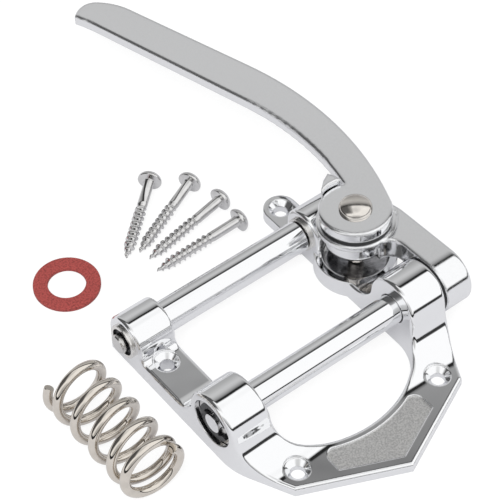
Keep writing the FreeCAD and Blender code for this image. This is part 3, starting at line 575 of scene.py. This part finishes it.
class VIBRATO_OT_fittings(bpy.types.Operator):
    """Dress the bearings, bushes, pins, clip, washers and nut"""
    bl_idname = "vibrato.fittings"
    bl_label = "Fittings"

    def execute(self, context):
        tones = context.scene.vibrato_finish
        steel = turned_metal("bright_steel", tones.steel, rough=0.18)
        dress(("bearing_left", "bearing_right", "clip_washer", "tension_shaft", "string_pins",
               "bracket_grub_screw", "pivot_nut", "pivot_lock_washer"), steel)
        plated = turned_metal("bush_metal", tones.bush, rough=0.2)
        dress(("tension_bush_left", "tension_bush_right"), plated)
        dress(("bar_clip",), black_oxide("black_oxide", tones.black_metal))
        dress(("bracket_washer", "arm_washer"), black_nylon("black_nylon", tones.nylon))
        # The black inside the well of the left bush is painted shade.
        self.paint_well_shade(context.scene.vibrato_casting.bush_lip, tones.black_metal)
        return {"FINISHED"}

    def paint_well_shade(self, lip, tone):
        """Paints the well inside the lip of the left bush black, as painted shade for the shadow in the
        recess.
        """
        bush = NODES["tension_bush_left"].data
        bush.materials.append(black_oxide("bush_well_painted_shade", tone))
        low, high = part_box("tension_bush_left")
        middle = (low + high) / 2
        well = (high.y - low.y) / 2 - lip + WELL_MARGIN
        for face in bush.polygons:
            reach = (face.center.yz - middle.yz).length
            if reach < well and face.center.x < low.x + WELL_DEPTH:
                face.material_index = 1


class VIBRATO_OT_pivot_bolt(bpy.types.Operator):
    """Turn the domed pivot bolt with its thread"""
    bl_idname = "vibrato.pivot_bolt"
    bl_label = "Pivot Bolt"

    def execute(self, context):
        sizes = context.scene.vibrato_bolt
        maker = bmesh.new()
        levels = self.thread_levels(sizes)
        rings = [thread_ring(maker, BOLT_SIDES, height, lambda way: self.thread(sizes, height, way))
                 for height in levels]
        rings += lathe(maker, self.head_profile(sizes), BOLT_SIDES)
        bridge(maker, rings[:len(levels) + 1])
        fan(maker, rings[0], maker.verts.new((0, 0, sizes.foot)))
        fan(maker, rings[-1], maker.verts.new((0, 0, sizes.top)))
        bmesh.ops.recalc_face_normals(maker, faces=maker.faces)
        bolt = new_piece("arm_bolt", maker)
        low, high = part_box("pivot_bolt")
        lean = Matrix.Rotation(-sizes.lean, 4, "X")
        crown = max((lean @ vertex.co).z for vertex in bolt.data.vertices)
        foot = min((lean @ vertex.co).y for vertex in bolt.data.vertices)
        shift = Vector(((low.x + high.x) / 2, low.y - foot, high.z - crown))
        bolt.data.transform(Matrix.Translation(shift) @ lean)
        sharpen(bolt, degrees=35)
        finish = bright_plating("bolt_nickel", context.scene.vibrato_finish.bolt, rough=0.16)
        settle(bolt, "bracket", "pivot_bolt", finish)
        return {"FINISHED"}

    def thread_levels(self, sizes):
        """Levels of the rings along the thread, close enough for its ridges."""
        count = math.ceil((sizes.seat - sizes.foot) / sizes.pitch * BOLT_RINGS_PER_THREAD)
        return [sizes.foot + (sizes.seat - sizes.foot) * step / count for step in range(count + 1)]

    def thread(self, sizes, height, way):
        """Radius of the threaded shank at a height and a share of a turn; its end is tapered."""
        phase = (height / sizes.pitch - way) % 1.0
        ridge = 1.0 - abs(2 * phase - 1.0)
        radius = sizes.root_radius + (sizes.thread_radius - sizes.root_radius) * ridge
        return min(radius, sizes.root_radius - BOLT_END_TAPER + (height - sizes.foot))

    def head_profile(self, sizes):
        """Shoulder, underside, rim and dome of the head."""
        edge = sizes.under + sizes.head_rim
        profile = [(sizes.shoulder_radius, sizes.seat), (sizes.shoulder_radius, sizes.under),
                   (sizes.head_radius, sizes.under)]
        for step in range(BOLT_DOME_STEPS):
            way = math.radians(90 * step / BOLT_DOME_STEPS)
            profile.append((sizes.head_radius * math.cos(way), edge + (sizes.top - edge) * math.sin(way)))
        return profile


class VIBRATO_OT_spring(bpy.types.Operator):
    """Wind the compression spring from one wire"""
    bl_idname = "vibrato.spring"
    bl_label = "Spring"

    def execute(self, context):
        sizes = context.scene.vibrato_spring
        low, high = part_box("spring")
        maker = bmesh.new()
        steps = math.ceil(sizes.turns * SPRING_RINGS_PER_TURN)
        rings = []
        wire, bevel = sizes.wire_radius, sizes.end_bevel
        for step in range(steps + 1):
            turn = sizes.turns * step / steps
            if step == 0:
                rings.append(self.ring(maker, sizes, turn, wire - bevel, 0.0))
                rings.append(self.ring(maker, sizes, turn, wire, bevel))
            elif step == steps:
                rings.append(self.ring(maker, sizes, turn, wire, -bevel))
                rings.append(self.ring(maker, sizes, turn, wire - bevel, 0.0))
            else:
                rings.append(self.ring(maker, sizes, turn, wire, 0.0))
        bridge(maker, rings)
        for turn, ring in ((0.0, rings[0]), (sizes.turns, rings[-1])):
            fan(maker, ring, maker.verts.new(self.wire_frame(sizes, turn)[0]))
        bmesh.ops.recalc_face_normals(maker, faces=maker.faces)
        spring = new_piece("spring_coil", maker)
        middle = (low + high) / 2
        lie = Matrix.Rotation(math.radians(90), 4, "X") @ Matrix.Rotation(sizes.start_angle, 4, "Z")
        start = Vector((middle.x, high.y - sizes.wire_radius, middle.z))
        spring.data.transform(Matrix.Translation(start) @ lie)
        sharpen(spring, degrees=40)
        finish = bright_plating("spring_nickel", context.scene.vibrato_finish.nickel, rough=0.035)
        settle(spring, "spring", "spring", finish)
        return {"FINISHED"}

    def rise(self, sizes, turn):
        """Distance along the spring after a number of turns; the ends are wound close."""
        gain = sizes.open_pitch - sizes.end_pitch
        total = sizes.end_pitch * turn
        for (start, stop), sign in ((SPRING_OPENS, 1), (SPRING_CLOSES, -1)):
            ramp = min(max(0.0, turn - start), stop - start)
            total += sign * gain * (ramp ** 2 / (2 * (stop - start)) + max(0.0, turn - stop))
        return total

    def wire_frame(self, sizes, turn):
        """Middle of the wire, its direction, and two ways across it."""
        around = 2 * math.pi * turn
        out = Vector((math.cos(around), math.sin(around), 0))
        small = SPRING_SLOPE_STEP
        slope = (self.rise(sizes, turn + small) - self.rise(sizes, turn - small)) / (2 * small)
        ahead = Vector((-out.y, out.x, 0)) * 2 * math.pi * sizes.coil_radius
        ahead.z = slope
        ahead.normalize()
        middle = out * sizes.coil_radius
        middle.z = self.rise(sizes, turn)
        return middle, ahead, out, ahead.cross(out)

    def ring(self, maker, sizes, turn, radius, shift):
        """One ring of vertices round the wire."""
        middle, ahead, out, across = self.wire_frame(sizes, turn)
        ring = []
        for side in range(SPRING_SIDES):
            way = 2 * math.pi * side / SPRING_SIDES
            point = middle + ahead * shift + (out * math.cos(way) + across * math.sin(way)) * radius
            ring.append(maker.verts.new(point))
        return ring


class VIBRATO_OT_fibre_washer(bpy.types.Operator):
    """Stamp the red fibre washer"""
    bl_idname = "vibrato.fibre_washer"
    bl_label = "Fibre Washer"

    def execute(self, context):
        sizes = context.scene.vibrato_washer
        tones = context.scene.vibrato_finish
        low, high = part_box("fibre_washer")
        outer = (high.x - low.x) / 2
        thick = high.z - low.z
        corners = ((sizes.hole_radius, 0.0, 180, 270), (outer, 0.0, 270, 360),
                   (outer, thick, 0, 90), (sizes.hole_radius, thick, 90, 180))
        bend = sizes.edge_round
        profile = []
        for radius, height, start, stop in corners:
            inward = bend if radius < outer else -bend
            upward = bend if height == 0.0 else -bend
            for step in range(WASHER_CORNER_STEPS + 1):
                way = math.radians(start + (stop - start) * step / WASHER_CORNER_STEPS)
                profile.append((radius + inward + bend * math.cos(way),
                                height + upward + bend * math.sin(way)))
        maker = bmesh.new()
        lathe(maker, profile, WASHER_SIDES, closed=True)
        bmesh.ops.recalc_face_normals(maker, faces=maker.faces)
        washer = new_piece("red_washer", maker)
        washer.location = ((low.x + high.x) / 2, (low.y + high.y) / 2, low.z)
        sharpen(washer, degrees=50)
        settle(washer, "fibre_washer", "fibre_washer",
               red_fibre("red_fibre", tones.fibre, tones.fibre_dark))
        return {"FINISHED"}


class VIBRATO_OT_wood_screws(bpy.types.Operator):
    """Cut the four wood screws with thread, round head and cross recess"""
    bl_idname = "vibrato.wood_screws"
    bl_label = "Wood Screws"

    def execute(self, context):
        sizes = context.scene.vibrato_screw
        finish = bright_plating("screw_zinc", context.scene.vibrato_finish.zinc, rough=0.07)
        base = sizes.length - sizes.head_rim - sizes.head_dome
        run = base - sizes.point_length
        tilt = math.atan2(sizes.head_radius - sizes.thread_radius, run)
        tip = sizes.thread_radius * math.cos(tilt) - sizes.point_length * math.sin(tilt)
        half = sizes.length / 2 * math.cos(tilt)
        for count, ((x, y), heading) in enumerate(SCREWS_AT, start=1):
            screw = self.screw(f"wood_screw_{count}", sizes, base)
            turn = Matrix.Rotation(math.radians(heading), 4, "Z")
            lift = Matrix.Rotation(math.pi / 2 - tilt, 4, "Y")
            roll = Matrix.Rotation(math.radians(SCREW_ROLL * count), 4, "Z")
            start = Vector((x * MM, y * MM, tip)) - turn @ Vector((half, 0, 0))
            screw.data.transform(Matrix.Translation(start) @ turn @ lift @ roll)
            settle(screw, "wood_screws", "wood_screws", finish)
        return {"FINISHED"}

    def screw(self, name, sizes, base):
        """One screw, its tip at the origin and its head along Z."""
        maker = bmesh.new()
        segments = sizes.segments
        heights = self.heights(sizes, base)
        rings = [thread_ring(maker, segments, height, lambda way: self.body_radius(sizes, height, way))
                 for height in heights]
        rings += lathe(maker, self.head_profile(sizes, base), segments)
        bridge(maker, rings[len(heights) - 1:len(heights) + 1])
        bridge(maker, rings[:len(heights)])
        fan(maker, rings[0], maker.verts.new((0, 0, 0)))
        fan(maker, rings[-1], maker.verts.new((0, 0, sizes.length)))
        bmesh.ops.recalc_face_normals(maker, faces=maker.faces)
        piece = new_piece(name, maker)
        self.cut_cross(piece, sizes)
        sharpen(piece, degrees=35)
        return piece

    def heights(self, sizes, base):
        """Levels of the rings: close together along the thread, and two on the plain shank."""
        count = math.ceil(sizes.thread_length / sizes.pitch * SCREW_RINGS_PER_THREAD)
        levels = [sizes.thread_length * (step + SCREW_FIRST_RING) / count for step in range(count)]
        return levels + [sizes.thread_length + SCREW_SHANK_FROM, base - SCREW_SHANK_TO]

    def body_radius(self, sizes, height, way):
        """Radius at a height and a share of a turn: a tapered core with a sharp helical thread."""
        if height > sizes.thread_length:
            return sizes.shank_radius
        taper = min(1.0, height / sizes.point_length)
        core = sizes.core_radius * (SCREW_TIP_CORE + (1 - SCREW_TIP_CORE) * taper)
        core *= min(1.0, taper * SCREW_TIP_CLOSE)
        phase = (height / sizes.pitch - way) % 1.0
        ridge = max(0.0, 1.0 - abs(phase - 0.5) / SCREW_RIDGE_HALF)
        crest = min(1.0, ridge * SCREW_CREST_FLAT)
        run_out = (sizes.thread_length - height) / (SCREW_RUN_OUT * sizes.pitch)
        left = max(0.0, run_out)
        depth = (sizes.thread_radius - sizes.core_radius) * min(1.0, SCREW_TIP_DEPTH + taper, left)
        blend = 1.0 - min(1.0, left)
        core += (sizes.shank_radius - core) * blend ** 2
        reach = sizes.thread_radius * (SCREW_TIP_REACH + (1 - SCREW_TIP_REACH) * taper)
        return min(core + depth * crest, reach)

    def head_profile(self, sizes, base):
        """Under the head, round its rim and over its dome."""
        outer, rim, dome = sizes.head_radius, sizes.head_rim, sizes.head_dome
        profile = [(sizes.shank_radius + out * MM, base + up * MM) for out, up in SCREW_NECK]
        profile += [(outer + out * MM, base + up * MM) for out, up in SCREW_EDGE]
        for step in range(SCREW_DOME_STEPS):
            way = math.radians(90 * step / SCREW_DOME_STEPS)
            profile.append((outer * math.cos(way) ** SCREW_DOME_OUT,
                            base + rim + dome * math.sin(way) ** SCREW_DOME_UP))
        return profile

    def cut_cross(self, piece, sizes):
        """Cuts the tapered cross recess into the head."""
        maker = bmesh.new()
        top = sizes.length + RECESS_OVERSHOOT
        bottom = sizes.length - sizes.slot_depth
        for quarter in (0.0, math.pi / 2):
            box = bmesh.ops.create_cube(maker, size=1.0)["verts"]
            for corner in box:
                upper = corner.co.z > 0
                reach = sizes.slot_reach * (1.0 if upper else RECESS_FOOT_REACH)
                wide = sizes.slot_width * (1.0 if upper else RECESS_FOOT_WIDTH)
                corner.co = (corner.co.x * 2 * reach, corner.co.y * wide, top if upper else bottom)
            bmesh.ops.rotate(maker, verts=box, matrix=Matrix.Rotation(quarter, 3, "Z"))
        cutter = new_piece("cross_cutter", maker)
        slot = piece.modifiers.new("cross", "BOOLEAN")
        slot.operation = "DIFFERENCE"
        slot.object = cutter
        slot.solver = "EXACT"
        slot.use_self = True
        bpy.context.view_layer.update()
        shaped = piece.evaluated_get(bpy.context.evaluated_depsgraph_get())
        mesh = bpy.data.meshes.new_from_object(shaped)
        piece.modifiers.clear()
        piece.data = mesh
        mesh.shade_smooth()
        bpy.data.objects.remove(cutter)


class VIBRATO_OT_stage(bpy.types.Operator):
    """Set the floor, the soft light and the camera"""
    bl_idname = "vibrato.stage"
    bl_label = "Studio"

    def execute(self, context):
        studio = context.scene.vibrato_studio
        context.scene.view_settings.view_transform = "Standard"
        self.floor(context, studio)
        self.sky(context, studio)
        self.lamp(context, studio)
        self.camera(context, studio)
        return {"FINISHED"}

    def floor(self, context, studio):
        """White floor that keeps a soft shadow; polished metal sees it a little darker."""
        maker = bmesh.new()
        bmesh.ops.create_grid(maker, x_segments=1, y_segments=1, size=studio.floor_size / 2)
        floor = new_piece("floor", maker)
        floor.location.z = -FLOOR_DROP
        paint = bpy.data.materials.new("floor_paint")
        paint.use_nodes = True
        tree = paint.node_tree
        tree.nodes.clear()
        rays = tree.nodes.new("ShaderNodeLightPath")
        out = tree.nodes.new("ShaderNodeOutputMaterial")
        paint_tone = (FLOOR_PAINT, FLOOR_PAINT, FLOOR_PAINT, 1.0)
        matte = add_node(tree, "ShaderNodeBsdfDiffuse", Color=paint_tone)
        seen = self.glow(tree, WHITE, strength=0.80, share=0.24)
        mirrored = self.glow(tree, studio.floor_tint, strength=0.28, share=0.46)
        first = self.choose(tree, rays.outputs["Is Glossy Ray"], matte, mirrored)
        direct = self.larger(tree, rays.outputs["Is Camera Ray"], rays.outputs["Is Transmission Ray"])
        last = self.choose(tree, direct, first, seen)
        tree.links.new(last.outputs[0], out.inputs["Surface"])
        floor.data.materials.append(paint)

    def glow(self, tree, tint, strength, share):
        """Even brightness plus a share of real shading, which holds the shadow."""
        even = add_node(tree, "ShaderNodeEmission", Color=(*tint, 1.0), Strength=strength)
        shaded = add_node(tree, "ShaderNodeBsdfDiffuse", Color=(share, share, share, 1.0))
        both = tree.nodes.new("ShaderNodeAddShader")
        tree.links.new(even.outputs[0], both.inputs[0])
        tree.links.new(shaded.outputs[0], both.inputs[1])
        return both

    def choose(self, tree, test, otherwise, chosen):
        """One shader for the rays that pass a test, another for the rest."""
        mix = tree.nodes.new("ShaderNodeMixShader")
        tree.links.new(test, mix.inputs[0])
        tree.links.new(otherwise.outputs[0], mix.inputs[1])
        tree.links.new(chosen.outputs[0], mix.inputs[2])
        return mix

    def sky(self, context, studio):
        """White to the camera, even on dull surfaces, and a softbox room for polished metal."""
        world = bpy.data.worlds.new("studio")
        context.scene.world = world
        world.use_nodes = True
        tree = world.node_tree
        tree.nodes.clear()
        rays = tree.nodes.new("ShaderNodeLightPath")
        out = tree.nodes.new("ShaderNodeOutputWorld")
        white = add_node(tree, "ShaderNodeBackground", Color=(*WHITE, 1.0), Strength=1.0)
        even = add_node(tree, "ShaderNodeBackground", Color=(*WHITE, 1.0), Strength=studio.sky_level)
        room = tree.nodes.new("ShaderNodeBackground")
        tree.links.new(self.softboxes(tree, studio), room.inputs["Color"])
        first = self.choose(tree, rays.outputs["Is Glossy Ray"], even, room)
        last = self.choose(tree, rays.outputs["Is Camera Ray"], first, white)
        tree.links.new(last.outputs[0], out.inputs["Surface"])

    def softboxes(self, tree, studio):
        """The room as metal shows it: white overhead, a dark gap, grey walls far off and near by."""
        place = tree.nodes.new("ShaderNodeTexCoord")
        turned = add_node(tree, "ShaderNodeMapping", Rotation=(0.0, 0.0, studio.room_turn))
        parts = tree.nodes.new("ShaderNodeSeparateXYZ")
        tree.links.new(place.outputs["Generated"], turned.inputs["Vector"])
        tree.links.new(turned.outputs["Vector"], parts.inputs[0])
        depth = self.ramp(tree, parts.outputs["Y"], ROOM_DEPTH)
        height = self.ramp(tree, parts.outputs["Z"], ROOM_HEIGHT)
        side = self.ramp(tree, parts.outputs["X"], ROOM_SIDE)
        far = self.share(tree, parts.outputs["Y"], FAR_WALL)
        close = self.share(tree, parts.outputs["Y"], NEAR_WALL)
        near = self.product(tree, height, self.larger(tree, side, close))
        return self.product(tree, depth, self.larger(tree, near, far))

    def share(self, tree, source, span):
        """Share that grows from none to all over a span of one part of the direction."""
        grown = add_node(tree, "ShaderNodeMapRange", From_Min=span[0], From_Max=span[1])
        tree.links.new(source, grown.inputs["Value"])
        return grown.outputs["Result"]

    def product(self, tree, first, second):
        """Two levels multiplied."""
        return self.combine(tree, "MULTIPLY", first, second)

    def larger(self, tree, first, second):
        """The larger of two levels."""
        return self.combine(tree, "MAXIMUM", first, second)

    def combine(self, tree, operation, first, second):
        """Two levels joined by one operation."""
        node = tree.nodes.new("ShaderNodeMath")
        node.operation = operation
        tree.links.new(first, node.inputs[0])
        tree.links.new(second, node.inputs[1])
        return node.outputs[0]

    def ramp(self, tree, source, levels):
        """Brightness by one part of the direction, as (part from -1 to 1, level)."""
        share = self.share(tree, source, (-1.0, 1.0))
        scale = tree.nodes.new("ShaderNodeValToRGB")
        stops = scale.color_ramp.elements
        while len(stops) < len(levels):
            stops.new(1.0)
        for stop, (part, level) in zip(stops, levels):
            stop.position = (part + 1) / 2
            stop.color = (level, level, level, 1.0)
        tree.links.new(share, scale.inputs["Fac"])
        return scale.outputs["Color"]

    def lamp(self, context, studio):
        """Large soft lamp above the near side; it shades dull surfaces and stays out of the metal."""
        light = bpy.data.lights.new("key", "AREA")
        light.shape = "SQUARE"
        light.size = LAMP_SIDE
        light.energy = studio.key_power
        lamp = bpy.data.objects.new("key", light)
        lamp.location = LAMP_PLACE
        aim = Vector((studio.target_x, studio.target_y, 0)) - lamp.location
        lamp.rotation_euler = aim.to_track_quat("-Z", "Y").to_euler()
        lamp.visible_glossy = False
        context.scene.collection.objects.link(lamp)

    def camera(self, context, studio):
        """Camera at the photograph's angle, for a square picture."""
        turn, rise, roll = studio.azimuth, studio.elevation, studio.roll
        back = Vector((math.sin(turn) * math.cos(rise), -math.cos(turn) * math.cos(rise), math.sin(rise)))
        right = Vector((math.cos(turn), math.sin(turn), 0))
        up = back.cross(right)
        leaning = right * math.cos(roll) + up * math.sin(roll)
        upright = back.cross(leaning)
        target = Vector((studio.target_x, studio.target_y, 0))
        data = bpy.data.cameras.new("camera")
        data.lens = studio.focal_length
        data.sensor_width = SENSOR_WIDTH
        data.sensor_fit = "HORIZONTAL"
        data.clip_start = CLIP_START
        camera = bpy.data.objects.new("camera", data)
        axes = Matrix((leaning, upright, back)).transposed().to_4x4()
        camera.matrix_world = Matrix.Translation(target + back * studio.distance) @ axes
        context.scene.collection.objects.link(camera)
        context.scene.camera = camera


OPERATORS = (
    VIBRATO_OT_castings,
    VIBRATO_OT_bars,
    VIBRATO_OT_fittings,
    VIBRATO_OT_pivot_bolt,
    VIBRATO_OT_spring,
    VIBRATO_OT_fibre_washer,
    VIBRATO_OT_wood_screws,
    VIBRATO_OT_stage,
)
SETTINGS = {
    "vibrato_studio": StudioSettings,
    "vibrato_finish": FinishSettings,
    "vibrato_casting": CastingSettings,
    "vibrato_bolt": BoltSettings,
    "vibrato_spring": SpringSettings,
    "vibrato_washer": WasherSettings,
    "vibrato_screw": ScrewSettings,
}


class VIBRATO_PT_panel(bpy.types.Panel):
    """Lists the steps that dress the part"""
    bl_idname = "VIBRATO_PT_panel"
    bl_label = "Vibrato Tailpiece"
    bl_space_type = "VIEW_3D"
    bl_region_type = "UI"
    bl_category = "Vibrato"

    def draw(self, context):
        column = self.layout.column()
        for step in OPERATORS:
            column.operator(step.bl_idname)
        for group in SETTINGS:
            box = self.layout.box()
            settings = getattr(context.scene, group)
            for name in settings.__annotations__:
                box.prop(settings, name)


def register():
    """Registers the settings, the steps and the panel."""
    for name, group in SETTINGS.items():
        bpy.utils.register_class(group)
        setattr(bpy.types.Scene, name, PointerProperty(type=group))
    for step in OPERATORS:
        bpy.utils.register_class(step)
    bpy.utils.register_class(VIBRATO_PT_panel)


def unregister():
    """Takes back what register added."""
    bpy.utils.unregister_class(VIBRATO_PT_panel)
    for step in reversed(OPERATORS):
        bpy.utils.unregister_class(step)
    for name, group in reversed(SETTINGS.items()):
        delattr(bpy.types.Scene, name)
        bpy.utils.unregister_class(group)


def main():
    """Dresses the part step by step."""
    register()
    for step in OPERATORS:
        family, action = step.bl_idname.split(".")
        getattr(getattr(bpy.ops, family), action)()


if __name__ == "__main__":
    main()
